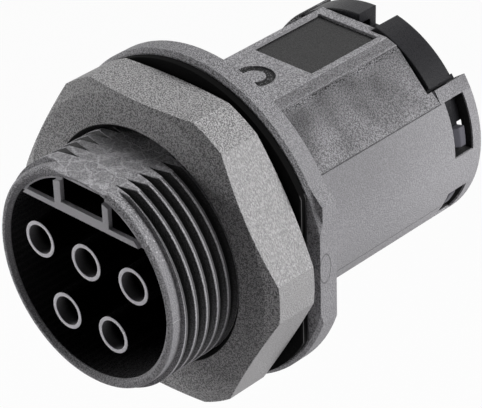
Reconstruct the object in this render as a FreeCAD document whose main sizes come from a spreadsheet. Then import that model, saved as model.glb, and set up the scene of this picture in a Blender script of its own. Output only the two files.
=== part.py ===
import FreeCAD, Part
import Sketcher
import math
import os

# Five pole panel connector for installation wiring.
# The threaded barrel goes through a panel hole from behind, a hexagon nut clamps it,
# and five wires enter the sleeve at the rear.
# Frame: the barrel's axis is Y, its mating face looks to -Y, the flat on the sleeve is up.
# The origin lies on that axis in the front face of the gasket, where the panel seats.

os.makedirs("parts", exist_ok=True)
doc = FreeCAD.newDocument("device_connector")
sheet = doc.addObject("Spreadsheet::Sheet", "dims")
rows = 0


class Size:
    """A length with its number and the expression that binds it to the sheet."""

    def __init__(self, value, text):
        self.value = value
        self.text = text

    def __add__(self, other):
        return Size(self.value + number(other), "(%s + %s)" % (self.text, term(other)))

    def __radd__(self, other):
        return Size(number(other) + self.value, "(%s + %s)" % (term(other), self.text))

    def __sub__(self, other):
        return Size(self.value - number(other), "(%s - %s)" % (self.text, term(other)))

    def __rsub__(self, other):
        return Size(number(other) - self.value, "(%s - %s)" % (term(other), self.text))

    def __mul__(self, other):
        return Size(self.value * number(other), "(%s * %s)" % (self.text, term(other)))

    __rmul__ = __mul__

    def __truediv__(self, other):
        return Size(self.value / number(other), "(%s / %s)" % (self.text, term(other)))

    def __neg__(self):
        return Size(-self.value, "(0 - %s)" % self.text)


def number(x):
    return x.value if isinstance(x, Size) else float(x)


def term(x):
    return x.text if isinstance(x, Size) else "%.9g" % x


def half_chord(radius, offset):
    value = math.sqrt(number(radius) ** 2 - number(offset) ** 2)
    return Size(value, "sqrt(%s ^ 2 - %s ^ 2)" % (term(radius), term(offset)))


def cosine(angle):
    return Size(math.cos(math.radians(number(angle))), "cos(%s * 1 deg)" % term(angle))


def sine(angle):
    return Size(math.sin(math.radians(number(angle))), "sin(%s * 1 deg)" % term(angle))


def dim(alias, value, note):
    """Adds one driving dimension to the sheet and returns it."""
    global rows
    rows += 1
    sheet.set("A%d" % rows, note)
    sheet.set("B%d" % rows, str(value))
    sheet.setAlias("B%d" % rows, alias)
    return Size(float(value), "dims.%s" % alias)


# Barrel and thread
thread_r = dim("thread_r", 12.5, "radius over the thread crests")
thread_pitch = dim("thread_pitch", 1.5, "thread pitch")
thread_depth = dim("thread_depth", 0.9, "depth of the thread groove")
groove_mouth = dim("groove_mouth", 1.1, "width of the thread groove at the crests")
lead_r = dim("lead_r", 12.0, "radius of the plain lead-in")
lead_len = dim("lead_len", 1.4, "length of the plain lead-in")
barrel_len = dim("barrel_len", 14.8, "panel seat to the mating face")
barrel_flat = dim("barrel_flat", 11.2, "height of the flat on top of the thread")
lip_round = dim("lip_round", 0.25, "bevel on the outer edge of the mating face")
lip_bevel = dim("lip_bevel", 0.4, "bevel inside the mating face")
cut_over = dim("cut_over", 1.0, "allowance by which a cut passes the surface that it opens")

# Mating cavity
cavity_r = dim("cavity_r", 11.0, "radius of the mating cavity")
cavity_depth = dim("cavity_depth", 12.5, "depth of the mating cavity")
floor_t = dim("floor_t", 2.0, "thickness of the cavity floor")
chord_low = dim("chord_low", 6.9, "underside of the wall above the contacts")
chord_t = dim("chord_t", 0.6, "thickness of that wall")
latch_step = dim("latch_step", 0.45, "extra wall under the latch window")
latch_roof = dim("latch_roof", 0.6, "wall between the latch window and the flat")
latch_left = dim("latch_left", 2.5, "left side of the latch window from the axis")
latch_right = dim("latch_right", 3.3, "right side of the latch window from the axis")
web_left = dim("web_left", 0.95, "web left of the latch window")
web_right = dim("web_right", 0.8, "web right of the latch window")
side_r = dim("side_r", 10.7, "outer radius of the two side pockets")
tube_r = dim("tube_r", 2.0, "outer radius of a contact tube")
tube_bore = dim("tube_bore", 1.6, "bore radius of a contact tube")
tube_recess = dim("tube_recess", 0.45, "contact tube behind the mating face")
pole_pitch = dim("pole_pitch", 6.54, "spacing of the poles in a row")
row_up = dim("row_up", 1.74, "height of the row of three")
row_down = dim("row_down", 5.37, "depth of the row of two below the axis")

# Flange and gasket
gasket_t = dim("gasket_t", 0.8, "gasket thickness")
gasket_set = dim("gasket_set", 0.55, "edge of the gasket inside the edge of the flange")
gasket_cut = dim("gasket_cut", 2.1, "depth of a flat side below the round of the gasket")
flange_t = dim("flange_t", 2.4, "flange thickness")
flange_out = dim("flange_out", 5.65, "edge of the flange outside the thread crests")
flange_cut = dim("flange_cut", 0.95, "depth of a flat side below the round of the flange")
ear_z = dim("ear_z", 7.6, "height of the corner at the top of each flat side")
ear_angle = dim("ear_angle", 30, "angle where the corner's slope leaves the round")
flange_bevel = dim("flange_bevel", 0.4, "bevel on the front edge of the flange")

# Rear sleeve
sleeve_len = dim("sleeve_len", 27.8, "flange to the rear rim")
sleeve_r = dim("sleeve_r", 13.1, "outer radius of the sleeve")
sleeve_bore = dim("sleeve_bore", 11.7, "bore radius of the sleeve")
neck_bore = dim("neck_bore", 10.4, "bore radius inside the thread")
neck_len = dim("neck_len", 4.0, "panel seat to the step in the bore")
key_flat = dim("key_flat", 10.9, "flat in the top of the sleeve's bore")
panel_z = dim("panel_z", 12.2, "height of the flat top panel")
panel_half = dim("panel_half", 4.8, "half width of the flat top panel")
panel_foot = dim("panel_foot", 6.2, "centre to the foot of its bevel on the right")
left_foot = dim("left_foot", 5.3, "centre to the foot of its bevel on the left")
panel_drop = dim("panel_drop", 0.5, "height of its bevels")
panel_len = dim("panel_len", 22.9, "flange to the rear end of the flat panel")
crease = dim("crease", 28.5, "angle of the crease below each flat side of the sleeve")
field_from = dim("field_from", 11.2, "flange to the front of the recessed field")
field_len = dim("field_len", 10.3, "length of the recessed field")
field_half = dim("field_half", 4.1, "half width of the recessed field")
field_deep = dim("field_deep", 0.3, "depth of the recessed field")
ring_from = dim("ring_from", 7.0, "flange to the centre of the ring mark")
ring_r = dim("ring_r", 2.2, "outer radius of the ring mark")
ring_width = dim("ring_width", 0.95, "width of the ring mark")
ring_deep = dim("ring_deep", 0.15, "depth of the ring mark")

# Openings near the rear rim, as angles from the +X side
notch_len = dim("notch_len", 5.7, "length of the notch for the right finger tab")
notch_low = dim("notch_low", 35.5, "lower end of the right notch")
notch_high = dim("notch_high", 78, "upper end of the right notch")
left_high = dim("left_high", 128.5, "end of the opening behind the panel, on the left")
window_low = dim("window_low", 0, "lower end of the upper window")
window_high = dim("window_high", 28.5, "upper end of the upper window")
window_from = dim("window_from", 4.3, "rear rim to the front of a window")
window_rim = dim("window_rim", 1.3, "rim left behind a window")
slot_low = dim("slot_low", -40, "lower end of the lower window")
slot_high = dim("slot_high", -20.5, "upper end of the lower window")

# Lock nut and slip washer
nut_wall = dim("nut_wall", 3.9, "flats of the nut outside the thread crests")
nut_trim = dim("nut_trim", 1.09, "depth by which the nut's corners are trimmed round")
nut_face_set = dim("nut_face_set", 0.05, "edge of the nut's round faces inside the flats")
nut_bevel = dim("nut_bevel", 0.6, "depth of the nut's front bevel at the corners")
nut_back = dim("nut_back", 0.4, "depth of the nut's rear bevel at the corners")
nut_t = dim("nut_t", 6.0, "nut thickness")
nut_play = dim("nut_play", 0.1, "radial play of the nut and washer on the thread")
washer_t = dim("washer_t", 0.25, "slip washer thickness")
washer_set = dim("washer_set", 0.45, "edge of the slip washer inside the nut's round face")
washer_gap = dim("washer_gap", 0.14, "slip washer to the gasket as stored")

# Contact carrier and terminal cover
fit_gap = dim("fit_gap", 0.1, "play between the insert and the bores")
insert_flat = dim("insert_flat", 0.2, "play between the insert and the key flat")
carrier_rear = dim("carrier_rear", 16.7, "panel seat to the joint of the carrier and the cover")
cover_len = dim("cover_len", 12.4, "length of the terminal cover")
chamber_from = dim("chamber_from", 4.2, "panel seat to the front of the terminal chambers")
chamber_half = dim("chamber_half", 2.4, "half width of a terminal chamber")
chamber_top = dim("chamber_top", 4.4, "top of a chamber above its contact's axis")
tab_thick = dim("tab_thick", 1.2, "thickness of a finger tab")
tab_sunk = dim("tab_sunk", 0.05, "finger tab below the outside of the sleeve")
tab_gap = dim("tab_gap", 0.25, "play round a finger tab in its notch")
tab_low = dim("tab_low", 37, "lower end of the right finger tab")
tab_high = dim("tab_high", 76.5, "upper end of the right finger tab")
lug_low = dim("lug_low", 89.5, "upper end of the left finger tab")
lug_high = dim("lug_high", 127, "lower end of the left finger tab")
lug_sunk = dim("lug_sunk", 0.25, "left finger tab below the outside of the sleeve")
tab_foot = dim("tab_foot", 1.0, "length of the foot that carries a finger tab")
root_in = dim("root_in", 0.5, "depth by which feet and noses are rooted in the cover")
rib_low = dim("rib_low", 14, "lower end of the rib that backs a window")
rib_high = dim("rib_high", 38, "upper end of that rib")
rib_out = dim("rib_out", 1.7, "that rib behind the cover's rear face")
nose_low = dim("nose_low", 3, "lower end of the latch nose in the upper window")
nose_high = dim("nose_high", 13, "upper end of that nose")
nose2_low = dim("nose2_low", -35, "lower end of the latch nose in the lower window")
nose2_high = dim("nose2_high", -26, "upper end of that nose")
nose_r = dim("nose_r", 12.7, "radius over the latch noses")
nose_len = dim("nose_len", 2.0, "length of a latch nose")
nose_slope = dim("nose_slope", 1.2, "length of the slope in front of a latch nose")

# Contacts, springs and release buttons
contact_r = dim("contact_r", 1.5, "outer radius of a contact's socket")
contact_bore = dim("contact_bore", 1.15, "bore radius of a contact's socket")
contact_bore_len = dim("contact_bore_len", 9.0, "depth of that bore")
contact_recess = dim("contact_recess", 2.8, "contact behind the mating face")
slit_w = dim("slit_w", 0.4, "slit in a contact's socket")
slit_len = dim("slit_len", 6.0, "length of that slit")
block_half = dim("block_half", 2.2, "half width of a contact's block")
block_top = dim("block_top", 1.5, "top of a contact's block above its axis")
block_len = dim("block_len", 2.0, "length of a contact's block")
contact_play = dim("contact_play", 0.05, "play round a contact in the carrier")
bar_half = dim("bar_half", 2.0, "half width of a contact's current bar")
bar_drop = dim("bar_drop", 1.4, "underside of the current bar below the contact's axis")
bar_t = dim("bar_t", 0.8, "thickness of the current bar")
wire_up = dim("wire_up", 0.5, "wire above the contact's axis")
wire_r = dim("wire_r", 1.55, "radius of a wire entry")
throat_half = dim("throat_half", 1.0, "half width of a wire entry's square throat")
throat_len = dim("throat_len", 3.5, "length of that throat")
spring_half = dim("spring_half", 1.8, "half width of a clamp spring")
spring_t = dim("spring_t", 0.3, "thickness of the spring strip")
spring_front = dim("spring_front", 6.2, "panel seat to the front end of a spring")
loop_y = dim("loop_y", 13.0, "panel seat to the centre of a spring's loop")
loop_r = dim("loop_r", 1.15, "outer radius of a spring's loop")
leg_angle = dim("leg_angle", 32, "slope of a spring's clamping leg")
leg_len = dim("leg_len", 4.75, "length of a spring's clamping leg")
button_half = dim("button_half", 1.55, "half width of a release button")
button_low = dim("button_low", 2.45, "underside of a button above the contact's axis")
button_tall = dim("button_tall", 1.7, "height of a release button")
button_out = dim("button_out", 0.7, "button proud of the cover")
button_front = dim("button_front", 0.5, "front end of a button's bar behind the joint")
button_play = dim("button_play", 0.1, "play round a release button")
shoulder_half = dim("shoulder_half", 2.0, "half width of a button's shoulder")
shoulder_from = dim("shoulder_from", 3.1, "shoulder behind the joint")
shoulder_len = dim("shoulder_len", 1.5, "length of a button's shoulder")
prong_in = dim("prong_in", 1.35, "inner side of a button's prong")
prong_out = dim("prong_out", 2.0, "outer side of a button's prong")
prong_low = dim("prong_low", 0.6, "underside of the prong above the contact's axis")
prong_tall = dim("prong_tall", 1.2, "height of the prong")
prong_reach = dim("prong_reach", 3.65, "prong in front of the joint")
link_len = dim("link_len", 1.2, "length of the link between bar and prong")

# Values that several pieces share
mating_y = -barrel_len
floor_y = cavity_depth - barrel_len
floor_rear = floor_y + floor_t
flange_rear = gasket_t + flange_t
rim_y = flange_rear + sleeve_len
cover_rear = carrier_rear + cover_len
panel_rear = flange_rear + panel_len
flange_r = thread_r + flange_out
flange_flat = flange_r - flange_cut
gasket_r = flange_r - gasket_set
gasket_flat = gasket_r - gasket_cut
nut_apothem = thread_r + nut_wall
nut_corner = nut_apothem / cosine(30)
nut_corner_r = nut_corner - nut_trim
nut_face_r = nut_apothem - nut_face_set
washer_r = nut_face_r - washer_set
insert_r = sleeve_bore - fit_gap
neck_r = neck_bore - fit_gap
insert_top = key_flat - insert_flat
nut_rear = -(washer_gap + washer_t)
nut_front = nut_rear - nut_t
far = sleeve_r * 2

# The five poles as seen from the mating face: three above, two below
poles = [(-pole_pitch, row_up), (pole_pitch * 0, row_up), (pole_pitch * 1, row_up),
         (pole_pitch * -0.5, -row_down), (pole_pitch * 0.5, -row_down)]


# Helpers: a body, its sketches and its features
def new_body(label):
    body = doc.addObject("PartDesign::Body", label)
    body.Label = label
    return body


def origin_feature(body, role):
    return [part for part in body.Origin.OriginFeatures if part.Role == role][0]


def new_sketch(body, role, offset=None, turn=None):
    sketch = body.newObject("Sketcher::SketchObject", "sketch")
    sketch.AttachmentSupport = [(origin_feature(body, role), "")]
    sketch.MapMode = "FlatFace"
    if offset is not None:
        sketch.setExpression("AttachmentOffset.Base.z", term(offset))
    if turn is not None:
        axis = FreeCAD.Vector(1, 0, 0)
        sketch.AttachmentOffset = FreeCAD.Placement(FreeCAD.Vector(), FreeCAD.Rotation(axis, number(turn)))
        sketch.setExpression("AttachmentOffset.Rotation.Angle", term(turn))
    return sketch


def cross_sketch(body, y):
    """A sketch across the axis at y: its X is X and its Y is Z."""
    return new_sketch(body, "XZ_Plane", offset=-y)


def pin(sketch, geo, pos, x, z):
    """Fixes one point of a sketch at x, z and binds both to the sheet."""
    for kind, value in (("DistanceX", x), ("DistanceY", z)):
        if value is None:
            continue
        index = sketch.addConstraint(Sketcher.Constraint(kind, -1, 1, geo, pos, number(value)))
        if isinstance(value, Size):
            sketch.setExpression("Constraints[%d]" % index, value.text)


def polygon(sketch, points):
    """Adds a closed outline of straight lines through the points."""
    vectors = [FreeCAD.Vector(number(x), number(z), 0) for x, z in points]
    first = sketch.GeometryCount
    count = len(points)
    for k in range(count):
        sketch.addGeometry(Part.LineSegment(vectors[k], vectors[(k + 1) % count]))
    for k in range(count):
        sketch.addConstraint(Sketcher.Constraint("Coincident", first + k, 2, first + (k + 1) % count, 1))
    for k in range(count):
        pin(sketch, first + k, 1, points[k][0], points[k][1])


def rectangle(sketch, x0, x1, z0, z1):
    polygon(sketch, [(x0, z0), (x1, z0), (x1, z1), (x0, z1)])


def circle(sketch, x, z, radius):
    centre = FreeCAD.Vector(number(x), number(z), 0)
    geo = sketch.addGeometry(Part.Circle(centre, FreeCAD.Vector(0, 0, 1), number(radius)))
    pin(sketch, geo, 3, x, z)
    index = sketch.addConstraint(Sketcher.Constraint("Radius", geo, number(radius)))
    sketch.setExpression("Constraints[%d]" % index, term(radius))


def arc_shape(sketch, corners, centre=(0, 0)):
    """Adds a closed outline. A corner is x, z, and the way on to the next corner:
    "line", or "arc" and "arc back" for an arc round the centre, anticlockwise and clockwise."""
    middle = FreeCAD.Vector(number(centre[0]), number(centre[1]), 0)
    vectors = [FreeCAD.Vector(number(x), number(z), 0) for x, z, way in corners]
    count = len(corners)
    first = sketch.GeometryCount
    ends = []
    for k, (x, z, way) in enumerate(corners):
        start = vectors[k]
        stop = vectors[(k + 1) % count]
        if way == "line":
            geo = sketch.addGeometry(Part.LineSegment(start, stop))
            ends.append((geo, 1, 2))
            continue
        if way == "arc back":
            start, stop = stop, start
        angle0 = math.atan2(start.y - middle.y, start.x - middle.x)
        angle1 = math.atan2(stop.y - middle.y, stop.x - middle.x)
        if angle1 <= angle0:
            angle1 += 2 * math.pi
        ring = Part.Circle(middle, FreeCAD.Vector(0, 0, 1), (start - middle).Length)
        geo = sketch.addGeometry(Part.ArcOfCircle(ring, angle0, angle1))
        ends.append((geo, 2, 1) if way == "arc back" else (geo, 1, 2))
        pin(sketch, geo, 3, centre[0], centre[1])
    for k in range(count):
        geo, start, stop = ends[k]
        after, after_start, after_stop = ends[(k + 1) % count]
        sketch.addConstraint(Sketcher.Constraint("Coincident", geo, stop, after, after_start))
    for k, (x, z, way) in enumerate(corners):
        geo, start, stop = ends[k]
        held_by_arc = corners[k - 1][2] != "line"
        # An arc's radius comes from its first corner, so its last one needs one coordinate less
        if held_by_arc and abs(vectors[k].x - middle.x) > abs(vectors[k].y - middle.y):
            pin(sketch, geo, start, None, z)
        elif held_by_arc:
            pin(sketch, geo, start, x, None)
        else:
            pin(sketch, geo, start, x, z)


def feature(body, kind, sketch, **settings):
    """Adds a PartDesign feature, with sizes bound to the sheet."""
    made = body.newObject("PartDesign::" + kind, "feature")
    made.Profile = sketch
    for name, value in settings.items():
        if isinstance(value, Size):
            setattr(made, name, value.value)
            made.setExpression(name, value.text)
        else:
            setattr(made, name, value)
    sketch.Visibility = False
    return made


def pad(body, sketch, length, rearward=True):
    return feature(body, "Pad", sketch, Length=length, Reversed=rearward)


def pocket(body, sketch, length, rearward=True):
    return feature(body, "Pocket", sketch, Length=length, Reversed=not rearward)


def turned(body, kind, points, angle=360.0, middle=None):
    """Turns an outline of (y, r) points about the Y axis, all round or about a middle angle."""
    turn = None if middle is None else 90 - middle
    sketch = new_sketch(body, "YZ_Plane", turn=turn)
    polygon(sketch, points)
    return feature(body, kind, sketch, ReferenceAxis=(sketch, ["H_Axis"]), Angle=angle,
                   Midplane=middle is not None)


def turned_both_sides(body, kind, points, low, high):
    """A turned segment between two angles, and its mirror image on the -X side."""
    made = turned(body, kind, points, angle=high - low, middle=(low + high) * 0.5)
    doc.recompute()
    mirror = body.newObject("PartDesign::Mirrored", "mirror")
    mirror.Originals = [made]
    mirror.MirrorPlane = (origin_feature(body, "YZ_Plane"), [""])
    body.Tip = mirror
    return mirror


def make_housing():
    body = new_body("housing")

    # Barrel, neck and sleeve turned as one solid
    turned(body, "Revolution", [
        (mating_y, 0), (mating_y, lead_r - lip_round), (mating_y + lip_round, lead_r),
        (mating_y + lead_len, lead_r), (mating_y + lead_len, thread_r),
        (gasket_t, thread_r), (gasket_t, sleeve_r), (rim_y, sleeve_r), (rim_y, 0)])

    # Thread: one V groove, which starts and ends under the flat on top
    groove_y = mating_y + lead_len + groove_mouth * 0.5
    root_r = thread_r - thread_depth
    beyond = thread_r + cut_over
    sketch = new_sketch(body, "YZ_Plane")
    polygon(sketch, [(groove_y, root_r),
                     (groove_y + groove_mouth * 0.5, thread_r), (groove_y + groove_mouth * 0.5, beyond),
                     (groove_y - groove_mouth * 0.5, beyond), (groove_y - groove_mouth * 0.5, thread_r)])
    turns = math.floor((number(gasket_t) - number(mating_y + lead_len)) / number(thread_pitch)) - 1
    feature(body, "SubtractiveHelix", sketch, ReferenceAxis=(sketch, ["H_Axis"]), Mode=0,
            Pitch=thread_pitch, Height=thread_pitch * turns)

    # Flange: a disc with two flat sides, each with a small corner at its top
    flange_half = half_chord(flange_r, flange_flat)
    ear_x = flange_r * cosine(ear_angle)
    ear_top = flange_r * sine(ear_angle)
    sketch = cross_sketch(body, gasket_t)
    arc_shape(sketch, [(flange_flat, -flange_half, "line"), (flange_flat, ear_z, "line"),
                       (ear_x, ear_top, "arc"), (-ear_x, ear_top, "line"),
                       (-flange_flat, ear_z, "line"), (-flange_flat, -flange_half, "arc")])
    pad(body, sketch, flange_t)
    turned(body, "Groove", [(gasket_t, flange_r - flange_bevel), (gasket_t, flange_r + cut_over),
                            (gasket_t + flange_bevel, flange_r + cut_over),
                            (gasket_t + flange_bevel, flange_r)])

    # Flat on top of the thread, then the sleeve's top cut down and its bevelled panel put on
    sketch = cross_sketch(body, mating_y)
    rectangle(sketch, -far, far, barrel_flat, far)
    pocket(body, sketch, barrel_len + gasket_t)
    sketch = cross_sketch(body, rim_y)
    rectangle(sketch, -far, far, panel_z, far)
    pocket(body, sketch, sleeve_len, rearward=False)
    sketch = cross_sketch(body, flange_rear)
    rim_z = panel_z - panel_drop
    polygon(sketch, [(-left_foot, key_flat), (panel_foot, key_flat), (panel_foot, rim_z),
                     (panel_half, panel_z), (-panel_half, panel_z), (-left_foot, rim_z)])
    pad(body, sketch, panel_len)

    # A flat side from each foot of the panel down to the crease on the round
    crease_x = sleeve_r * cosine(crease)
    crease_z = sleeve_r * sine(crease)
    clear = 1.2
    sketch = cross_sketch(body, flange_rear)
    for side, foot in ((1, panel_foot), (-1, left_foot)):
        polygon(sketch, [(foot * side, rim_z), (crease_x * side, crease_z),
                         (crease_x * side * clear, crease_z * clear),
                         (panel_half * side, panel_z * clear), (panel_half * side, panel_z)])
    pocket(body, sketch, panel_len)

    # Recessed field and ring mark on the flat panel
    sketch = new_sketch(body, "XY_Plane", offset=panel_z)
    field_y = flange_rear + field_from
    rectangle(sketch, -field_half, field_half, field_y, field_y + field_len)
    pocket(body, sketch, field_deep)
    sketch = new_sketch(body, "XY_Plane", offset=panel_z)
    circle(sketch, 0, flange_rear + ring_from, ring_r)
    circle(sketch, 0, flange_rear + ring_from, ring_r - ring_width)
    pocket(body, sketch, ring_deep)

    # Mating cavity under the chord wall, with a bevelled lip
    chord_half = half_chord(cavity_r, chord_low)
    sketch = cross_sketch(body, mating_y)
    arc_shape(sketch, [(chord_half, chord_low, "line"), (-chord_half, chord_low, "arc")])
    pocket(body, sketch, cavity_depth)
    turned(body, "Groove", [(mating_y, cavity_r - lip_bevel), (mating_y, cavity_r + lip_bevel),
                            (mating_y + lip_bevel, cavity_r), (mating_y + lip_bevel, cavity_r - lip_bevel)])

    # Latch window and the pocket on each side of it, above the chord wall
    wall_top = chord_low + chord_t
    window_top = barrel_flat - latch_roof
    left = latch_left + web_left
    right = latch_right + web_right
    sketch = cross_sketch(body, mating_y)
    rectangle(sketch, -latch_left, latch_right, wall_top + latch_step, window_top)
    arc_shape(sketch, [(-left, wall_top, "line"), (-left, half_chord(side_r, left), "arc"),
                       (-half_chord(side_r, wall_top), wall_top, "line")])
    arc_shape(sketch, [(right, wall_top, "line"), (half_chord(side_r, wall_top), wall_top, "arc"),
                       (right, half_chord(side_r, right), "line")])
    pocket(body, sketch, cavity_depth)

    # Contact tubes that stand on the cavity floor
    sketch = cross_sketch(body, mating_y + tube_recess)
    for x, z in poles:
        circle(sketch, x, z, tube_r)
    pad(body, sketch, cavity_depth - tube_recess)

    # Bore from the rear: sleeve with a key flat, narrower neck, then the five contact holes
    key_half = half_chord(sleeve_bore, key_flat)
    sketch = cross_sketch(body, rim_y)
    arc_shape(sketch, [(key_half, key_flat, "line"), (-key_half, key_flat, "arc")])
    pocket(body, sketch, rim_y - neck_len, rearward=False)
    sketch = cross_sketch(body, neck_len)
    circle(sketch, 0, 0, neck_bore)
    pocket(body, sketch, neck_len - floor_rear, rearward=False)
    sketch = cross_sketch(body, floor_rear)
    for x, z in poles:
        circle(sketch, x, z, tube_bore)
    pocket(body, sketch, floor_rear - mating_y, rearward=False)

    # Openings at the rear: right notch, the opening behind the panel, and two windows a side
    wall_in = key_flat - cut_over
    wall_out = sleeve_r + cut_over
    notch_y = rim_y - notch_len
    for front, low, high in ((notch_y, notch_low, notch_high),
                             (panel_rear, notch_high - cut_over, left_high)):
        turned(body, "Groove", [(front, wall_in), (front, wall_out), (rim_y, wall_out), (rim_y, wall_in)],
               angle=high - low, middle=(low + high) * 0.5)
    window_y = rim_y - window_from
    window_end = rim_y - window_rim
    opening = [(window_y, wall_in), (window_y, wall_out), (window_end, wall_out), (window_end, wall_in)]
    turned_both_sides(body, "Groove", opening, window_low, window_high)
    turned_both_sides(body, "Groove", opening, slot_low, slot_high)
    return body


def make_lock_nut():
    body = new_body("lock_nut")
    sketch = cross_sketch(body, nut_front)
    polygon(sketch, [(nut_corner * cosine(60 * k), nut_corner * sine(60 * k)) for k in range(6)])
    pad(body, sketch, nut_t)

    # Corners trimmed round, and a bevel on both faces
    outside = nut_corner + cut_over
    turned(body, "Groove", [(nut_front, nut_face_r), (nut_front + nut_bevel, nut_corner_r),
                            (nut_rear - nut_back, nut_corner_r), (nut_rear, nut_face_r),
                            (nut_rear, outside), (nut_front, outside)])
    sketch = cross_sketch(body, nut_front)
    circle(sketch, 0, 0, thread_r + nut_play)
    pocket(body, sketch, nut_t)
    mouth = thread_r + nut_play + lip_bevel
    turned(body, "Groove", [(nut_front, thread_r), (nut_front, mouth),
                            (nut_front + lip_bevel, mouth - lip_bevel), (nut_front + lip_bevel, thread_r)])
    return body


def make_slip_washer():
    body = new_body("slip_washer")
    sketch = cross_sketch(body, nut_rear)
    circle(sketch, 0, 0, washer_r)
    circle(sketch, 0, 0, thread_r + nut_play)
    pad(body, sketch, washer_t)
    return body


def make_panel_gasket():
    body = new_body("panel_gasket")
    half = half_chord(gasket_r, gasket_flat)
    sketch = cross_sketch(body, gasket_t * 0)
    arc_shape(sketch, [(gasket_flat, -half, "line"), (gasket_flat, half, "arc"),
                       (-gasket_flat, half, "line"), (-gasket_flat, -half, "arc")])
    circle(sketch, 0, 0, thread_r + nut_play)
    pad(body, sketch, gasket_t)
    return body


def insert_outline(sketch):
    """The round outline of the insert with the flat that keys it in the sleeve."""
    half = half_chord(insert_r, insert_top)
    arc_shape(sketch, [(half, insert_top, "line"), (-half, insert_top, "arc")])


def make_contact_carrier():
    body = new_body("contact_carrier")
    sketch = cross_sketch(body, neck_len)
    insert_outline(sketch)
    pad(body, sketch, carrier_rear - neck_len)
    sketch = cross_sketch(body, floor_rear)
    circle(sketch, 0, 0, neck_r)
    pad(body, sketch, neck_len - floor_rear)

    # Through each pole: a seat for the contact's block, then the terminal chamber
    seat_half = block_half + contact_play
    sketch = cross_sketch(body, floor_rear)
    for x, z in poles:
        rectangle(sketch, x - seat_half, x + seat_half, z - bar_drop, z + block_top + contact_play)
    pocket(body, sketch, chamber_from - floor_rear)
    sketch = cross_sketch(body, chamber_from)
    for x, z in poles:
        rectangle(sketch, x - chamber_half, x + chamber_half, z - bar_drop, z + chamber_top)
    pocket(body, sketch, carrier_rear - chamber_from)
    return body


def make_terminal_cover():
    body = new_body("terminal_cover")
    sketch = cross_sketch(body, carrier_rear)
    insert_outline(sketch)
    pad(body, sketch, cover_len)

    # Finger tabs: curved plates in the openings, each on a foot at the rear
    foot_in = insert_top - root_in
    for front, sunk, low, high in ((rim_y - notch_len + tab_gap, tab_sunk, tab_low, tab_high),
                                   (panel_rear + tab_gap, lug_sunk, lug_low, lug_high)):
        tab_top = sleeve_r - sunk
        tab_in = tab_top - tab_thick
        turned(body, "Revolution", [(front, tab_in), (front, tab_top), (cover_rear, tab_top),
                                    (cover_rear, foot_in), (cover_rear - tab_foot, foot_in),
                                    (cover_rear - tab_foot, tab_in)],
               angle=high - low, middle=(low + high) * 0.5)

    # Ribs behind the windows
    inside = insert_r - root_in
    rib_y = cover_rear - tab_foot
    rib_end = cover_rear + rib_out
    turned_both_sides(body, "Revolution", [(rib_y, inside), (rib_y, insert_r), (rib_end, insert_r),
                                           (rib_end, inside)], rib_low, rib_high)

    # Latch noses: sloped in front, square behind
    nose_y = rim_y - window_from + tab_gap
    for low, high in ((nose_low, nose_high), (nose2_low, nose2_high)):
        turned_both_sides(body, "Revolution", [(nose_y, inside), (nose_y, insert_r),
                                               (nose_y + nose_slope, nose_r),
                                               (nose_y + nose_len, nose_r),
                                               (nose_y + nose_len, inside)], low, high)

    # Wire entries with a narrower throat
    sketch = cross_sketch(body, cover_rear)
    for x, z in poles:
        circle(sketch, x, z + wire_up, wire_r)
    pocket(body, sketch, cover_len - throat_len, rearward=False)
    sketch = cross_sketch(body, carrier_rear)
    for x, z in poles:
        low = z + wire_up - throat_half
        rectangle(sketch, x - throat_half, x + throat_half, low, low + throat_half * 2)
    pocket(body, sketch, throat_len)

    # Button guides: a slot right through, a wider part for the shoulder, room for the prong
    low = button_low - button_play
    high = button_low + button_tall + button_play
    stop_y = shoulder_from + shoulder_len + button_play
    for half, length in ((button_half + button_play, cover_len), (shoulder_half + button_play, stop_y)):
        sketch = cross_sketch(body, carrier_rear)
        for x, z in poles:
            rectangle(sketch, x - half, x + half, z + low, z + high)
        pocket(body, sketch, length)
    sketch = cross_sketch(body, carrier_rear)
    for x, z in poles:
        rectangle(sketch, x + prong_in - button_play, x + prong_out + button_play,
                  z + prong_low - button_play, z + low + button_play)
    pocket(body, sketch, button_front + link_len + button_play)
    return body


def make_socket_contact(number_of_pole, x, z):
    body = new_body("socket_contact_%d" % number_of_pole)
    front_y = mating_y + contact_recess
    block_rear = floor_rear + block_len
    turned(body, "Revolution", [(front_y, 0), (front_y, contact_r), (floor_rear, contact_r), (floor_rear, 0)])
    sketch = cross_sketch(body, floor_rear)
    rectangle(sketch, -block_half, block_half, -bar_drop, block_top)
    pad(body, sketch, block_len)
    sketch = cross_sketch(body, block_rear)
    rectangle(sketch, -bar_half, bar_half, -bar_drop, bar_t - bar_drop)
    pad(body, sketch, carrier_rear - contact_play - block_rear)
    sketch = cross_sketch(body, front_y)
    circle(sketch, 0, 0, contact_bore)
    pocket(body, sketch, contact_bore_len)
    sketch = cross_sketch(body, front_y)
    rectangle(sketch, slit_w * -0.5, slit_w * 0.5, -(contact_r + cut_over), contact_r + cut_over)
    pocket(body, sketch, slit_len)
    place(body, x, z)
    return body


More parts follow.
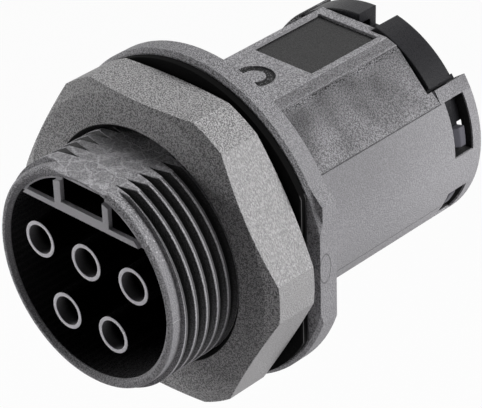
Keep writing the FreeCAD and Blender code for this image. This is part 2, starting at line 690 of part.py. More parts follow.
def make_clamp_spring(number_of_pole, x, z):
    """A strip bent into a loop: one leg under the chamber's roof, one sloping to the bar."""
    body = new_body("clamp_spring_%d" % number_of_pole)
    loop_z = chamber_top - loop_r
    inner_r = loop_r - spring_t
    low_x = sine(leg_angle)
    low_z = cosine(leg_angle)
    tip = leg_len * low_z
    fall = leg_len * low_x
    sketch = new_sketch(body, "YZ_Plane")
    arc_shape(sketch, [
        (spring_front, chamber_top, "line"), (spring_front, chamber_top - spring_t, "line"),
        (loop_y, chamber_top - spring_t, "arc back"),
        (loop_y + inner_r * low_x, loop_z - inner_r * low_z, "line"),
        (loop_y + inner_r * low_x - tip, loop_z - inner_r * low_z - fall, "line"),
        (loop_y + loop_r * low_x - tip, loop_z - loop_r * low_z - fall, "line"),
        (loop_y + loop_r * low_x, loop_z - loop_r * low_z, "arc"),
        (loop_y, chamber_top, "line")], centre=(loop_y, loop_z))
    feature(body, "Pad", sketch, Length=spring_half * 2, Midplane=True)
    place(body, x, z)
    return body


def make_release_button(number_of_pole, x, z):
    body = new_body("release_button_%d" % number_of_pole)
    bar_y = carrier_rear + button_front
    top = button_low + button_tall
    sketch = cross_sketch(body, bar_y)
    rectangle(sketch, -button_half, button_half, button_low, top)
    pad(body, sketch, cover_rear + button_out - bar_y)
    sketch = cross_sketch(body, carrier_rear + shoulder_from)
    rectangle(sketch, -shoulder_half, shoulder_half, button_low, top)
    pad(body, sketch, shoulder_len)
    sketch = cross_sketch(body, bar_y)
    rectangle(sketch, prong_in, prong_out, prong_low, top)
    pad(body, sketch, link_len)
    sketch = cross_sketch(body, carrier_rear - prong_reach)
    rectangle(sketch, prong_in, prong_out, prong_low, prong_low + prong_tall)
    pad(body, sketch, prong_reach + button_front + link_len)
    place(body, x, z)
    return body


def place(body, x, z):
    body.setExpression("Placement.Base.x", term(x))
    body.setExpression("Placement.Base.z", term(z))


doc.recompute()
pieces = [make_housing(), make_lock_nut(), make_slip_washer(), make_panel_gasket(),
          make_contact_carrier(), make_terminal_cover()]
for k, (x, z) in enumerate(poles):
    pieces.append(make_socket_contact(k + 1, x, z))
    pieces.append(make_clamp_spring(k + 1, x, z))
    pieces.append(make_release_button(k + 1, x, z))
doc.recompute()

for item in doc.Objects:
    if "Invalid" in item.State or "Error" in item.State:
        raise RuntimeError("%s of %s failed" % (item.Name, item.getParentGeoFeatureGroup()))
for piece in pieces:
    shape = piece.Shape
    if shape.isNull() or not shape.isValid() or len(shape.Solids) != 1:
        raise RuntimeError("%s has no single valid solid" % piece.Label)
    shape.exportStep("parts/%s.step" % piece.Label)
    box = shape.BoundBox
    print("%-18s volume %9.2f mm3  x %.2f to %.2f  y %.2f to %.2f  z %.2f to %.2f" % (
        piece.Label, shape.Volume, box.XMin, box.XMax, box.YMin, box.YMax, box.ZMin, box.ZMax))
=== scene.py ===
# %% [markdown]
# A round panel connector, dressed for its portrait
#
# The object is a five pole female connector that is clamped in a panel: a threaded barrel with a
# hexagon nut, a flange with a gasket in front of it, and a sleeve that takes five wires. The solids
# come ready made as a fixed frame, in metres, with the barrel's axis on Y and the mating face to -Y.
# This script gives them their surfaces, adds the thread inside the nut, puts a copy in place of each clamp
# spring, and sets the light and the camera.

# %% Load the frame
import bpy
import math
from mathutils import Matrix, Vector


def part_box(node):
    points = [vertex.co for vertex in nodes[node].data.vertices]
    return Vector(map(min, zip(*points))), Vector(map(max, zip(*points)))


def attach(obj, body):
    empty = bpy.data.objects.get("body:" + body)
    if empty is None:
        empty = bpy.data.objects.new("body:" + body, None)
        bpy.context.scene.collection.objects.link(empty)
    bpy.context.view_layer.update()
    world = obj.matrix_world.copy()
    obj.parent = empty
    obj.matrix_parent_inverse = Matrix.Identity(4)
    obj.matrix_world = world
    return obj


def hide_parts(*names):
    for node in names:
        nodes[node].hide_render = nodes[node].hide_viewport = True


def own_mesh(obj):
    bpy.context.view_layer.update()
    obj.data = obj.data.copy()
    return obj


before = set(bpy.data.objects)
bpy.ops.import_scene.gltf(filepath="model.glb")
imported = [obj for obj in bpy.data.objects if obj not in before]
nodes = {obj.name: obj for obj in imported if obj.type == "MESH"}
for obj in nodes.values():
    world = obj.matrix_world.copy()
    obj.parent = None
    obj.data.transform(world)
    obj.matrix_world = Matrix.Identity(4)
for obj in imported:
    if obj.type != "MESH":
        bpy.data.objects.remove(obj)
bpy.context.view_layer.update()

# %% [markdown]
# The camera
#
# A product photograph is usually taken with a long lens from some way off, so that a round face
# stays a calm ellipse. The view is told by the point that the camera looks at, the direction from
# there back to the camera, the distance and the roll. A matrix whose columns are the camera's
# right, up and back directions places it without any constraint, and it stays where it is put.

# %% Camera
MM = 0.001
PHOTO_WIDTH = 482
view_azimuth = math.radians(44.03)
view_height = math.radians(31.69)
view_roll = math.radians(-1.81)
view_distance = 226.4 * MM
view_target = Vector((26.52, -19.70, 21.68)) * MM
focal_pixels = 2614.4

camera_data = bpy.data.cameras.new("portrait_camera")
camera_data.sensor_width = 36
camera_data.lens = focal_pixels / PHOTO_WIDTH * camera_data.sensor_width
camera_data.clip_start = 0.01
camera_data.clip_end = 10
camera = bpy.data.objects.new("portrait_camera", camera_data)
bpy.context.scene.collection.objects.link(camera)
bpy.context.scene.camera = camera

back = Vector((math.sin(view_azimuth) * math.cos(view_height),
               -math.cos(view_azimuth) * math.cos(view_height), math.sin(view_height)))
level_right = Vector((math.cos(view_azimuth), math.sin(view_azimuth), 0))
level_up = back.cross(level_right)
right = level_right * math.cos(view_roll) + level_up * math.sin(view_roll)
up = level_up * math.cos(view_roll) - level_right * math.sin(view_roll)
camera.matrix_world = Matrix.Translation(view_target + back * view_distance) @ Matrix(
    (right, up, back)).transposed().to_4x4()
print("camera lens %.1f mm at %.0f mm" % (camera_data.lens, view_distance / MM))

# %% [markdown]
# Light
#
# Dark moulded plastic shows its shape by soft light from the side. One large lamp stands at the
# right and a little behind, so that it lights the sides, grazes the tops and leaves the front faces
# in shade. A second one over the left shoulder opens the tops, and a weak one at the left front
# lifts the shade on the nut's face. An area lamp lights a white surface to about full white when its
# power in watts is pi squared times its distance squared, so each lamp is given as a share of that.

# %% Lamps
part_centre = Vector((0, 8, 0)) * MM


def soft_lamp(name, direction, distance, size, share):
    """A square lamp that looks at the part from a direction, with its level as a share of white."""
    data = bpy.data.lights.new(name, "AREA")
    data.size = size
    data.energy = share * (math.pi * distance) ** 2
    lamp = bpy.data.objects.new(name, data)
    bpy.context.scene.collection.objects.link(lamp)
    away = Vector(direction).normalized()
    lamp.matrix_world = Matrix.Translation(part_centre + away * distance) @ away.to_track_quat(
        "Z", "Y").to_matrix().to_4x4()


soft_lamp("side_lamp", (0.82, 0.32, 0.47), 0.32, 0.16, 0.98)
soft_lamp("shoulder_lamp", (-0.45, 0.40, 0.80), 0.32, 0.20, 0.36)
soft_lamp("front_fill", (-0.87, -0.48, 0.08), 0.16, 0.08, 0.54)

# %% [markdown]
# Shader maths as plain expressions
#
# A procedural material is a sum over a surface: noise plus a mask, times a wear factor. Wiring each
# Math node by hand hides that sum. Here a small class holds one output socket, and its operators
# add the Math node that they name, so that a line such as "1 - mask" reads as what it does. All
# other nodes come from one method, which takes the node's type, its settings, and what goes into
# its sockets: a value, or another socket.

# %% Sockets and finishes
class Signal:
    """One output socket of a material. Arithmetic on it adds Math nodes."""

    def __init__(self, finish, socket):
        self.finish = finish
        self.socket = socket

    def math(self, operation, *terms):
        return self.finish.add("ShaderNodeMath", {"operation": operation}, dict(enumerate(terms)))

    def __add__(self, other):
        return self.math("ADD", self, other)

    def __sub__(self, other):
        return self.math("SUBTRACT", self, other)

    def __rsub__(self, other):
        return self.math("SUBTRACT", other, self)

    def __mul__(self, other):
        return self.math("MULTIPLY", self, other)

    def __truediv__(self, other):
        return self.math("DIVIDE", self, other)

    __radd__ = __add__
    __rmul__ = __mul__

    def size(self):
        """The value without its sign."""
        return self.math("ABSOLUTE", self)

    def reach(self, other):
        """The length of the two values as sides of a right angle."""
        return self.math("SQRT", self * self + other * other)

    def step(self, low, high):
        """0 below low, 1 above high, and a soft slope between them."""
        return self.finish.add("ShaderNodeMapRange", {"interpolation_type": "SMOOTHSTEP"},
                               {"Value": self, "From Min": low, "From Max": high})

    def line(self, centre, half, soft):
        """1 within half of the centre, and 0 a soft distance further out."""
        return 1 - (self - centre).size().step(half, half + soft)

    def where(self, mask, value):
        """This value, and another one where the mask is 1."""
        return self + (value - self) * mask


class Finish:
    """A material that is built node by node, and measures the part in millimetres."""

    def __init__(self, name):
        self.material = bpy.data.materials.new(name)
        self.material.use_nodes = True
        self.tree = self.material.node_tree
        self.tree.nodes.clear()
        place = self.add("ShaderNodeTexCoord", {}, {}, "Object")
        facing = self.add("ShaderNodeTexCoord", {}, {}, "Normal")
        self.place = self.add("ShaderNodeVectorMath", {"operation": "SCALE"}, {0: place, "Scale": 1 / MM})
        self.x, self.y, self.z = (self.add("ShaderNodeSeparateXYZ", {}, {0: self.place}, way)
                                  for way in "XYZ")
        self.outward, self.upward = (self.add("ShaderNodeSeparateXYZ", {}, {0: facing}, way)
                                     for way in "XZ")
        self.radius = self.x.reach(self.z)

    def add(self, kind, settings, inputs, output=0):
        """Adds a node and returns one of its outputs."""
        node = self.tree.nodes.new(kind)
        for name, value in settings.items():
            setattr(node, name, value)
        for name, value in inputs.items():
            if isinstance(value, Signal):
                self.tree.links.new(value.socket, node.inputs[name])
            else:
                node.inputs[name].default_value = value
        return Signal(self, node.outputs[output]) if node.outputs else None

    def noise(self, per_mm, detail=2, stretch=(1, 1, 1)):
        """Noise with so many grains to the millimetre, longer along an axis of small stretch."""
        place = self.add("ShaderNodeVectorMath", {"operation": "MULTIPLY"}, {0: self.place, 1: stretch})
        return self.add("ShaderNodeTexNoise", {}, {"Vector": place, "Scale": per_mm, "Detail": detail})

    def veins(self, per_mm, bend_mm):
        """0 on the borders of uneven cells, whose walls wander by so many millimetres."""
        drift = self.add("ShaderNodeTexNoise", {}, {"Vector": self.place, "Scale": per_mm}, "Color")
        bent = self.add("ShaderNodeVectorMath", {"operation": "MULTIPLY_ADD"},
                        {0: drift, 1: (bend_mm, bend_mm, bend_mm), 2: self.place})
        return self.add("ShaderNodeTexVoronoi", {"feature": "DISTANCE_TO_EDGE"},
                        {"Vector": bent, "Scale": per_mm}, "Distance")

    def blend(self, mask, low, high):
        """A colour that goes from low to high with the mask."""
        return self.add("ShaderNodeMix", {"data_type": "RGBA"}, {"Factor": mask, 6: low, 7: high}, 2)

    def shade(self, level, blue=1.0):
        """A grey of a level from 0 to 1, with a little more or less blue."""
        return self.blend(level, (0, 0, 0, 1), grey(1, blue))

    def relief(self, height, depth_mm, strength, below):
        """Turns a height from 0 to 1 into a shading normal on top of another one."""
        return self.add("ShaderNodeBump", {}, {"Height": height, "Strength": strength,
                                               "Distance": depth_mm * MM, "Normal": below})

    def soft_edges(self, radius_mm):
        """A normal that rounds each sharp edge, as a mould's edges are."""
        return self.add("ShaderNodeBevel", {"samples": 6}, {"Radius": radius_mm * MM})

    def surface(self, inputs):
        """Ends the material in a Principled shader."""
        shader = self.add("ShaderNodeBsdfPrincipled", {}, inputs)
        self.add("ShaderNodeOutputMaterial", {}, {"Surface": shader})
        return self.material


def grey(value, blue=1.0):
    """A grey with a little more or less blue."""
    return (value, value * 0.985, value * blue, 1)


def wear(node_names, material):
    """Gives a finish to nodes of the frame."""
    for name in node_names:
        node = nodes[name]
        for slot in node.material_slots:
            slot.material = material
        if not node.material_slots:
            node.data.materials.append(material)


print("noise, masks and relief are ready")

# %% [markdown]
# Sizes that the finishes need
#
# A finish that changes at a ledge must know where the ledge is. The frame gives each piece's box,
# and what lies inside a box, such as the field on the flat panel, is written here in millimetres,
# measured on the part as the photograph shows it.

# %% Places on the part
poles = range(1, 6)
housing_low, housing_high = (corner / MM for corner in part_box("housing"))
gasket_low, gasket_high = (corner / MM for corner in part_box("panel_gasket"))
mating_y = housing_low.y
rim_y = housing_high.y
thread_r = 12.5
thread_end = -0.5
lead_r = 12.0
lead_len = 1.4
cavity_r = 11.0
tube_recess = 0.45
flat_z = 11.2
panel_z = 12.2
field_half = 4.1
field_y = (14.4, 24.7)
ring_y = 10.2
sleeve_r = 13.1
flange_rear = 3.2
pitch = 1.5
groove_top_y = -12.85
window_front = 26.1
crease_angle = math.radians(28.5)
print("the part reaches from y %.1f to %.1f mm" % (mating_y, rim_y))

# %% [markdown]
# Grey moulded plastic
#
# The barrel, nut and sleeve are one glass filled plastic. Short fibres lie just under its skin and the skin
# is faintly pitted, so a top that the lamp grazes is peppered with light and dark, while a side that faces
# the lamp is calm. One noise, cut hard, gives that pepper in the colour as painted light and shade, and its
# contrast shrinks as the surface turns to the sides. A second noise, pulled long, gives the fibres and goes
# into the relief.

# %% Grain that the grey pieces share
def grain(finish, calm, strong):
    """Pepper around 1 in the colour, calm on the sides and strong elsewhere as painted light and shade, and
    the height of the skin.
    """
    pepper = finish.noise(7.0).step(0.36, 0.64)
    # painted light and shade: the pepper's contrast follows which way the surface faces, as grazing light
    # would
    grazing_contrast = strong + (calm - strong) * finish.outward.size().step(0.35, 0.9)
    fibres = finish.noise(4.0, stretch=(1, 0.35, 1))
    return 1 + (pepper - 0.5) * grazing_contrast * 2, pepper * 0.6 + fibres * 0.4


def plastic(finish, base, skin, depth_mm, roughness, edge_mm=0.12, marks=0.0, gloss=0.15):
    """A matt moulded piece with soft edges, a pitted skin and marks of the mould."""
    normal = finish.relief(marks, 0.12, 1.0, finish.soft_edges(edge_mm))
    normal = finish.relief(skin, depth_mm, 0.9, normal)
    return finish.surface({"Base Color": base, "Roughness": roughness, "Normal": normal,
                           "Specular IOR Level": gloss})


nut = Finish("nut_plastic")
tone, skin = grain(nut, 0.14, 0.60)
# painted highlight: the nut's upper side facet facing +X is painted lighter, with streaks
facet_highlight = nut.outward.line(0.866, 0.02, 0.04) * nut.upward.step(0.3, 0.45)
# painted shade: the nut's bore is painted near black
bore_shade = 1 - nut.radius.step(12.95, 13.1)
highlight_streaks = nut.noise(6.5, stretch=(1, 1, 0.3)).step(0.40, 0.66)
nut_level = (0.38 * tone).where(facet_highlight, 0.36 * tone + 0.18 * highlight_streaks).where(bore_shade, 0.008)
wear(["lock_nut"], plastic(nut, nut.shade(nut_level), skin, 0.07, 0.46 + 0.2 * skin))
print("nut finished")

# %% [markdown]
# The housing's zones
#
# One moulding carries several skins, because its mould does: polished inside the mating cavity, a smooth
# field on the flat panel, coarse on the flat sides above the crease and fine below it. Some zones also carry
# painted light and shade: the cavity, the windows and the thread's flanks and roots are painted dark as
# painted shade, the flat sides are painted darker than the round sleeve, and the thread's crests and the
# tube rims are painted light. Each zone is a mask from the position on the part, masks multiply where both
# must hold, and the level of grey goes over from one zone's value to the next.

# %% Housing masks
housing = Finish("housing_plastic")
x, y, z, radius = housing.x, housing.y, housing.z, housing.radius
turn = housing.add("ShaderNodeMath", {"operation": "ARCTAN2"}, {0: z, 1: x.size()})
sleeve = y.step(flange_rear, flange_rear + 0.1)
flat_side = turn.step(crease_angle - 0.006, crease_angle + 0.006) * sleeve * (1 - z.step(11.66, 11.72))
in_cavity = (1 - radius.step(cavity_r - 0.02, cavity_r + 0.06)) * (1 - y.step(0.2, 0.4))
in_cavity = in_cavity * y.step(mating_y + tube_recess + 0.03, mating_y + tube_recess + 0.1)
on_panel = z.step(panel_z - 0.5, panel_z - 0.4) * sleeve
on_field = on_panel * x.line(0, field_half - 0.03, 0.04) * (1 - y.step(field_y[1] - 0.06, field_y[1]))
on_field = on_field * y.step(field_y[0], field_y[0] + 0.06)
on_ring = on_panel * x.reach(y - ring_y).line(1.72, 0.46, 0.06)
thread_flat = z.line(flat_z, 0.05, 0.05) * (1 - y.step(thread_end, 0))
on_thread = y.step(mating_y + lead_len, mating_y + lead_len + 0.1) * (1 - thread_flat)
on_thread = on_thread * (1 - y.step(thread_end, thread_end + 0.1)) * radius.step(11.2, 11.3)
flank = (thread_r - radius).step(0.03, 0.09) * on_thread
root = (thread_r - radius).step(0.25, 0.60) * on_thread
winding = housing.add("ShaderNodeMath", {"operation": "ARCTAN2"}, {0: x, 1: z}) / (2 * math.pi)
turns_along = (y - groove_top_y) / pitch - winding
groove_phase = housing.add("ShaderNodeMath", {"operation": "FRACT"}, {0: turns_along})
on_crest = on_thread * (1 - flank)
crest_back = groove_phase.step(0.46, 0.49) * on_crest
on_bevel = on_panel * x.size().step(4.8, 4.9) * (1 - z.step(panel_z - 0.06, panel_z - 0.02))
window_shade = y.step(window_front, window_front + 0.1) * (1 - radius.step(sleeve_r - 0.25, sleeve_r - 0.15))
window_shade = window_shade * (1 - y.step(rim_y - 0.1, rim_y - 0.05))
lead_in = radius.line(lead_r, 0.12, 0.1) * (1 - y.step(mating_y + lead_len, mating_y + lead_len + 0.05))
lit_front_rims = (1 - y.step(mating_y + tube_recess + 0.03, mating_y + tube_recess + 0.06)) * (
    1 - radius.step(10.8, 10.9))
in_tubes = 0
for pole in poles:
    low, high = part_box("socket_contact_%d" % pole)
    middle = (low + high) / 2 / MM
    in_tubes = in_tubes + (1 - (x - middle.x).reach(z - middle.z).step(1.68, 1.72))
print("housing zones: cavity, tubes, panel, field, ring, flat sides, thread, windows")

# %% [markdown]
# Marks of the mould
#
# A hairline across the plain lead-in shows where two mould slides met. The flat on top of the thread is
# scribbled by the tool that cleared it, in bent cells with light borders. A crease and a parting line run
# along the sleeve, and the flange keeps an oval gate mark on its side. They are fine relief with a change of
# tone, so they stay true when the part turns in the light. The glints on the lead-in are painted highlights
# in the colour.

# %% Housing marks
seam = z.line(0, 0.02, 0.05) * lead_in * x.step(0, 1)
# painted highlights: glints on the upper lead-in
glints = housing.noise(5, detail=3).step(0.58, 0.70) * lead_in * z.step(3, 8)
leaves = 1 - housing.veins(0.55, 2.4).step(0.02, 0.10)
leaves = (leaves + 0.6 * (1 - housing.veins(1.6, 1.2).step(0.02, 0.12))) * thread_flat
along_crease = turn.line(crease_angle, 0.002, 0.004) * (1 - y.step(window_front, window_front + 0.2))
along_parting = turn.line(-crease_angle, 0.003, 0.004) * y.step(7.8, 8) * (1 - y.step(26, 26.2))
lines = (along_crease + along_parting) * sleeve * radius.step(12.6, 12.8)
gate = ((y - 1.5) / 0.8).reach((z - 0.5) / 1.65).line(1, 0.03, 0.07) * x.step(17, 17.1)
tone, skin = grain(housing, 0.14, 0.50)
drift = housing.noise(0.22, detail=1).step(0.3, 0.7)
# painted light: the round sleeve is painted lighter low on its sides and towards the rear
round_side_painted_light = 0.27 + 0.05 * (1 - turn.step(-0.2, 0.4)) + 0.07 * y.step(12, 28)
level = round_side_painted_light.where(1 - sleeve, 0.31).where(on_panel, 0.36) * tone
# painted shade: the flat sides above the crease are painted darker than the round sleeve, most towards the
# panel
shade_toward_panel = turn.step(crease_angle, crease_angle + 0.5)
level = level.where(flat_side, (0.20 - 0.10 * shade_toward_panel + 0.10 * drift) * (2 * tone - 1))
level = level.where(thread_flat, 0.16 + 0.16 * tone + 0.18 * leaves)
# painted light and shade on the thread: the crests are painted light, and the face behind each crest, the
# flanks (darkest at the top) and the roots are painted dark
level = level.where(on_crest, 0.45 * tone).where(crest_back, 0.12 * tone)
level = level.where(on_field, 0.010 * tone).where(flank, (0.11 - 0.08 * z.step(-6, 4)) * tone)
level = level.where(root, 0.004).where(on_bevel, 0.20 * tone)
# painted shade: the inside of the windows is painted near black; the ring mark keeps its own tone
level = level.where(on_ring, 0.010 + 0.4 * housing.noise(8).step(0.62, 0.68)).where(window_shade, 0.02)
level = level.where(lines * 0.7, 0.05).where(gate * 0.5, 0.12).where(seam * 0.6, 0.6)
# painted highlights: the glints, and the tube rims painted light, palest below
level = level.where(glints * 0.8, 0.9).where(lit_front_rims, 0.55).where(lit_front_rims * (1 - z.step(6, 6.4)), 0.95)
# painted shade: the mating cavity is painted near black, and the tube mouths in it keep a grey near the
# housing's own
tube_mouths = in_cavity * in_tubes * (1 - y.step(mating_y + 0.6, mating_y + 2.2))
level = level.where(in_cavity, 0.002).where(tube_mouths, 0.22)
calm = 1 - (on_field + in_cavity).step(0, 1)
rough = 0.20 + 0.30 * calm + 0.15 * skin
marks = leaves * 0.5 + seam * 0.4 - lines * 0.6 - gate * 0.4
wear(["housing"], plastic(housing, housing.shade(level, 1.03), skin * calm, 0.07, rough, marks=marks))
print("housing finished")

# %% [markdown]
# Gasket, washer and insert
#
# The gasket is black rubber with a dull skin, painted darker still as painted shade of the gap between nut
# and flange, and the two pale lines on its flat side are painted highlights along its edges. The insert is a
# darker, denser plastic than the housing, and its noses seen through the windows are painted lighter as
# painted light. The slip washer is painted near black as painted shade of that gap. The insert's tabs are
# rounded well at their edges, because a finger presses them.

# %% Rubber and dark plastic
rubber = Finish("gasket_rubber")
rubber_grain = rubber.noise(5, detail=3)
# painted highlights: two pale lines along the front and back edges of the gasket's flat side
edge_highlights = rubber.y.line(gasket_low.y + 0.07, 0.03, 0.05) + rubber.y.line(gasket_high.y - 0.1, 0.03, 0.05)
edge_highlights = edge_highlights * rubber.x.step(15.2, 15.4)
# painted shade: the rubber's black is pushed near zero as the shade of the gap between nut and flange
rubber_level = (0.002 + 0.004 * rubber_grain).where(edge_highlights * 0.6, 0.14)
wear(["panel_gasket"],
     plastic(rubber, rubber.shade(rubber_level), rubber_grain, 0.04, 0.6 + 0.2 * rubber_grain, gloss=0.03))

insert = Finish("insert_plastic")
tone, skin = grain(insert, 0.15, 0.30)
# painted light: the insert's noses seen through the windows are painted lighter than the rest of the insert
lit_noses = insert.x.step(9, 9.5) * (1 - insert.z.step(7.2, 7.5)) * insert.radius.step(11.7, 11.8)
insert_level = (0.015 * tone).where(lit_noses, 0.12)
wear(["terminal_cover", "contact_carrier"],
     plastic(insert, insert.shade(insert_level, 1.15), skin, 0.02, 0.34 + 0.12 * skin, edge_mm=0.3))

# painted shade: the slip washer is painted near black, as the shade of the gap it sits in
washer = Finish("washer_painted_shade")
tone, skin = grain(washer, 0.2, 0.4)
wear(["slip_washer"], plastic(washer, washer.shade(0.010 * tone), skin, 0.04, 0.5 + 0.2 * skin))
print("gasket, insert and washer finished")

# %% [markdown]
# Metal and buttons
#
# The contacts are tinned brass, drawn and slit, with faint turning marks round their axis. The
# clamp springs are rolled strip, brushed along their length. The buttons are a lighter plastic, so
# that a fitter finds them among the wires.

# %% Contacts, springs and buttons
tin = Finish("tinned_contact")
turning = tin.noise(9, stretch=(0.15, 1, 0.15))
stain = tin.noise(1.2, detail=3)
wear(["socket_contact_%d" % pole for pole in poles], tin.surface({
    "Base Color": tin.blend(stain.step(0.4, 0.75), grey(0.62, 0.94), grey(0.46, 0.88)),
    "Metallic": 1.0, "Roughness": 0.22 + 0.2 * stain,
    "Normal": tin.relief(turning, 0.01, 0.5, tin.soft_edges(0.05))}))

strip = Finish("spring_strip")
brushing = strip.noise(10, stretch=(1, 0.08, 1))
wear(["clamp_spring_%d" % pole for pole in poles], strip.surface({
    "Base Color": strip.blend(brushing.step(0.3, 0.7), grey(0.42), grey(0.56)),
    "Metallic": 1.0, "Roughness": 0.26 + 0.2 * brushing,
    "Normal": strip.relief(brushing, 0.01, 0.5, strip.soft_edges(0.03))}))

button = Finish("button_plastic")
tone, skin = grain(button, 0.06, 0.12)
wear(["release_button_%d" % pole for pole in poles],
     plastic(button, button.shade(0.40 * tone), skin, 0.03, 0.42 + 0.15 * skin))
print("contacts, springs and buttons finished")

# %% [markdown]
# Copies of the springs
#
# A pressed button slides its prong under the spring's sloping leg, and lifts the leg towards the roof of its
# chamber. A rigid spring would be cut by the prong. The frame's own meshes stay as they are, so a copy with
# a mesh of its own stands for each spring, tied to the housing, and the frame's spring is hidden.

for pole in poles:
    spring = nodes["clamp_spring_%d" % pole]
    flexing = bpy.data.objects.new("flexing_spring_%d" % pole, spring.data.copy())
    bpy.context.scene.collection.objects.link(flexing)
    flexing.matrix_world = spring.matrix_world
    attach(flexing, "housing_body")
    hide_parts(spring.name)
    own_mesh(flexing)
print("flexing springs:", len(poles))

# %% [markdown]
# The thread inside the nut
#
# A thread follows a rule: a small profile carried round a helix. Geometry Nodes state that rule
# directly. A Spiral gives the path, a four sided profile is swept along it, and the named inputs
# are the sizes a turner would ask for. The spiral is reversed, because this one winds the other way
# from a right handed screw, and its normals stand along the axis, so that the profile doesn't roll.
# The tree lays the axis along Y and ends in Realize Instances and Set Material.

# %% Nut thread tree
def thread_tree():
    """A right handed ridge round the Y axis, from named sizes in metres."""
    tree = bpy.data.node_groups.new("nut_thread", "GeometryNodeTree")
    for name in ("Root Radius", "Tip Radius", "Foot", "Crest", "Pitch", "Turns", "Start", "Start Angle"):
        tree.interface.new_socket(name, in_out="INPUT", socket_type="NodeSocketFloat")
    tree.interface.new_socket("Material", in_out="INPUT", socket_type="NodeSocketMaterial")
    tree.interface.new_socket("Geometry", in_out="OUTPUT", socket_type="NodeSocketGeometry")
    given = tree.nodes.new("NodeGroupInput").outputs

    def add(kind, settings, inputs):
        node = tree.nodes.new(kind)
        for name, value in settings.items():
            setattr(node, name, value)
        for name, value in inputs.items():
            if isinstance(value, bpy.types.NodeSocket):
                tree.links.new(value, node.inputs[name])
            else:
                node.inputs[name].default_value = value
        return node.outputs[0]

    def calc(operation, a, b):
        return add("ShaderNodeMath", {"operation": operation}, {0: a, 1: b})

    middle = calc("MULTIPLY", calc("ADD", given["Root Radius"], given["Tip Radius"]), 0.5)
    depth = calc("SUBTRACT", given["Root Radius"], given["Tip Radius"])
    rise = calc("MULTIPLY", given["Pitch"], given["Turns"])
    path = add("GeometryNodeCurveSpiral", {}, {
        "Resolution": 96, "Rotations": given["Turns"], "Start Radius": middle, "End Radius": middle,
        "Height": rise, "Reverse": True})
    upright = add("GeometryNodeSetCurveNormal", {"mode": "Z_UP"}, {"Curve": path})
    profile = add("GeometryNodeCurvePrimitiveQuadrilateral", {"mode": "TRAPEZOID"}, {
        "Bottom Width": given["Foot"], "Top Width": given["Crest"], "Height": depth, "Offset": 0.0})
    inward = add("GeometryNodeTransform", {}, {"Geometry": profile, "Rotation": (0, 0, math.pi / 2)})
    swept = add("GeometryNodeCurveToMesh", {}, {
        "Curve": upright, "Profile Curve": inward, "Fill Caps": True})
    tip_over = add("ShaderNodeCombineXYZ", {}, {"X": -math.pi / 2, "Y": given["Start Angle"]})
    shift = add("ShaderNodeCombineXYZ", {}, {"Y": given["Start"]})
    placed = add("GeometryNodeTransform", {}, {
        "Geometry": swept, "Rotation": tip_over, "Translation": shift})
    whole = add("GeometryNodeRealizeInstances", {}, {"Geometry": placed})
    done = add("GeometryNodeSetMaterial", {}, {"Geometry": whole, "Material": given["Material"]})
    tree.links.new(done, tree.nodes.new("NodeGroupOutput").inputs["Geometry"])
    return tree


print("nut thread tree ready")

# %% [markdown]
# Baking the nut's thread
#
# The ridge must lie in the barrel's groove, or nut and barrel would cut into each other. So its
# start angle comes from its start on the axis: the groove begins under the flat on top at one known
# place, and a full turn later it has moved on by one pitch. The nut runs forward until its front is
# at the mating face, and its ridge must not run out of the groove there, so it starts as far behind
# the groove's beginning as the nut can travel. The modifier gets its inputs by their socket
# identifiers, its result is baked to a plain mesh, and that mesh turns with the nut.

# %% Nut thread
nut_forward = 8.4
start_play = 0.05
ridge_start = groove_top_y + nut_forward + start_play
ridge_end = -0.9

nut_thread = Finish("nut_thread_painted_shade")
tone, skin = grain(nut_thread, 0.2, 0.5)
# painted shade: the ridge inside the nut is painted near black, far darker than the nut's own grey
nut_thread_shade_material = plastic(nut_thread, nut_thread.shade(0.02 * tone), skin, 0.03, 0.5 + 0.1 * skin)
ridge_sizes = {
    "Root Radius": 12.62 * MM, "Tip Radius": 11.8 * MM, "Foot": 0.82 * MM, "Crest": 0.14 * MM,
    "Pitch": pitch * MM, "Turns": (ridge_end - ridge_start) / pitch, "Start": ridge_start * MM,
    "Start Angle": 2 * math.pi * (ridge_start - groove_top_y) / pitch - math.pi / 2,
    "Material": nut_thread_shade_material}

maker = bpy.data.objects.new("thread_maker", bpy.data.meshes.new("thread_maker"))
bpy.context.scene.collection.objects.link(maker)
sweep = maker.modifiers.new("sweep", "NODES")
sweep.node_group = thread_tree()
for item in sweep.node_group.interface.items_tree:
    if item.in_out == "INPUT":
        sweep[item.identifier] = ridge_sizes[item.name]
baked = bpy.data.meshes.new_from_object(maker.evaluated_get(bpy.context.evaluated_depsgraph_get()))
bpy.data.objects.remove(maker)
baked.name = "nut_thread"
ridge = bpy.data.objects.new("nut_thread", baked)
bpy.context.scene.collection.objects.link(ridge)
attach(ridge, "nut_body")
print("nut thread:", len(baked.polygons), "faces")

# %% [markdown]
# Ground and background
#
# The part was photographed on white. The ground is a plain pale sheet well below the part. It and
# the world are white to the eye of the camera and to reflections, while their light on the part
# stays low. So the paper is white and the plastic keeps its own dark tone.

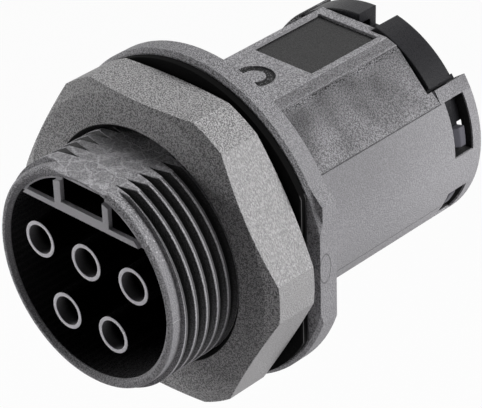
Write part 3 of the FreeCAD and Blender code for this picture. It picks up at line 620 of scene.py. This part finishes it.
# %% Ground and world
ground_z = -60 * MM
ground_half = 3.0
ground_mesh = bpy.data.meshes.new("ground")
ground_mesh.from_pydata([(-ground_half, -ground_half, ground_z), (ground_half, -ground_half, ground_z),
                         (ground_half, ground_half, ground_z), (-ground_half, ground_half, ground_z)],
                        [], [(0, 1, 2, 3)])
ground = bpy.data.objects.new("ground", ground_mesh)
bpy.context.scene.collection.objects.link(ground)
white_to = ("Is Camera Ray", "Is Glossy Ray", "Is Transmission Ray")

paper = Finish("paper")
paper_fibre = paper.noise(0.4)
paper_look = paper.add("ShaderNodeBsdfPrincipled", {}, {
    "Base Color": paper.blend(paper_fibre, grey(0.63), grey(0.67)), "Roughness": 0.9,
    "Specular IOR Level": 0.1})
paper_glow = paper.add("ShaderNodeEmission", {}, {"Color": (1, 1, 1, 1), "Strength": 1.0})
seen = paper.add("ShaderNodeLightPath", {}, {}, white_to[0])
for ray in white_to[1:]:
    seen = seen.math("MAXIMUM", seen, paper.add("ShaderNodeLightPath", {}, {}, ray))
paper_mix = paper.add("ShaderNodeMixShader", {}, {0: seen * 0.95, 1: paper_look, 2: paper_glow})
paper.add("ShaderNodeOutputMaterial", {}, {"Surface": paper_mix})
ground_mesh.materials.append(paper.material)

world_level = 0.02
world = bpy.data.worlds.new("studio")
bpy.context.scene.world = world
world.use_nodes = True
air = world.node_tree
air.nodes.clear()
rays = air.nodes.new("ShaderNodeLightPath")
seen = rays.outputs[white_to[0]]
for ray in white_to[1:]:
    either = air.nodes.new("ShaderNodeMath")
    either.operation = "MAXIMUM"
    air.links.new(seen, either.inputs[0])
    air.links.new(rays.outputs[ray], either.inputs[1])
    seen = either.outputs[0]
room = air.nodes.new("ShaderNodeMapRange")
room.inputs["To Min"].default_value = world_level
air.links.new(seen, room.inputs["Value"])
sky = air.nodes.new("ShaderNodeBackground")
air.links.new(room.outputs[0], sky.inputs["Strength"])
air.links.new(sky.outputs[0], air.nodes.new("ShaderNodeOutputWorld").inputs[0])
bpy.context.scene.view_settings.view_transform = "Standard"
print("ground and world ready")
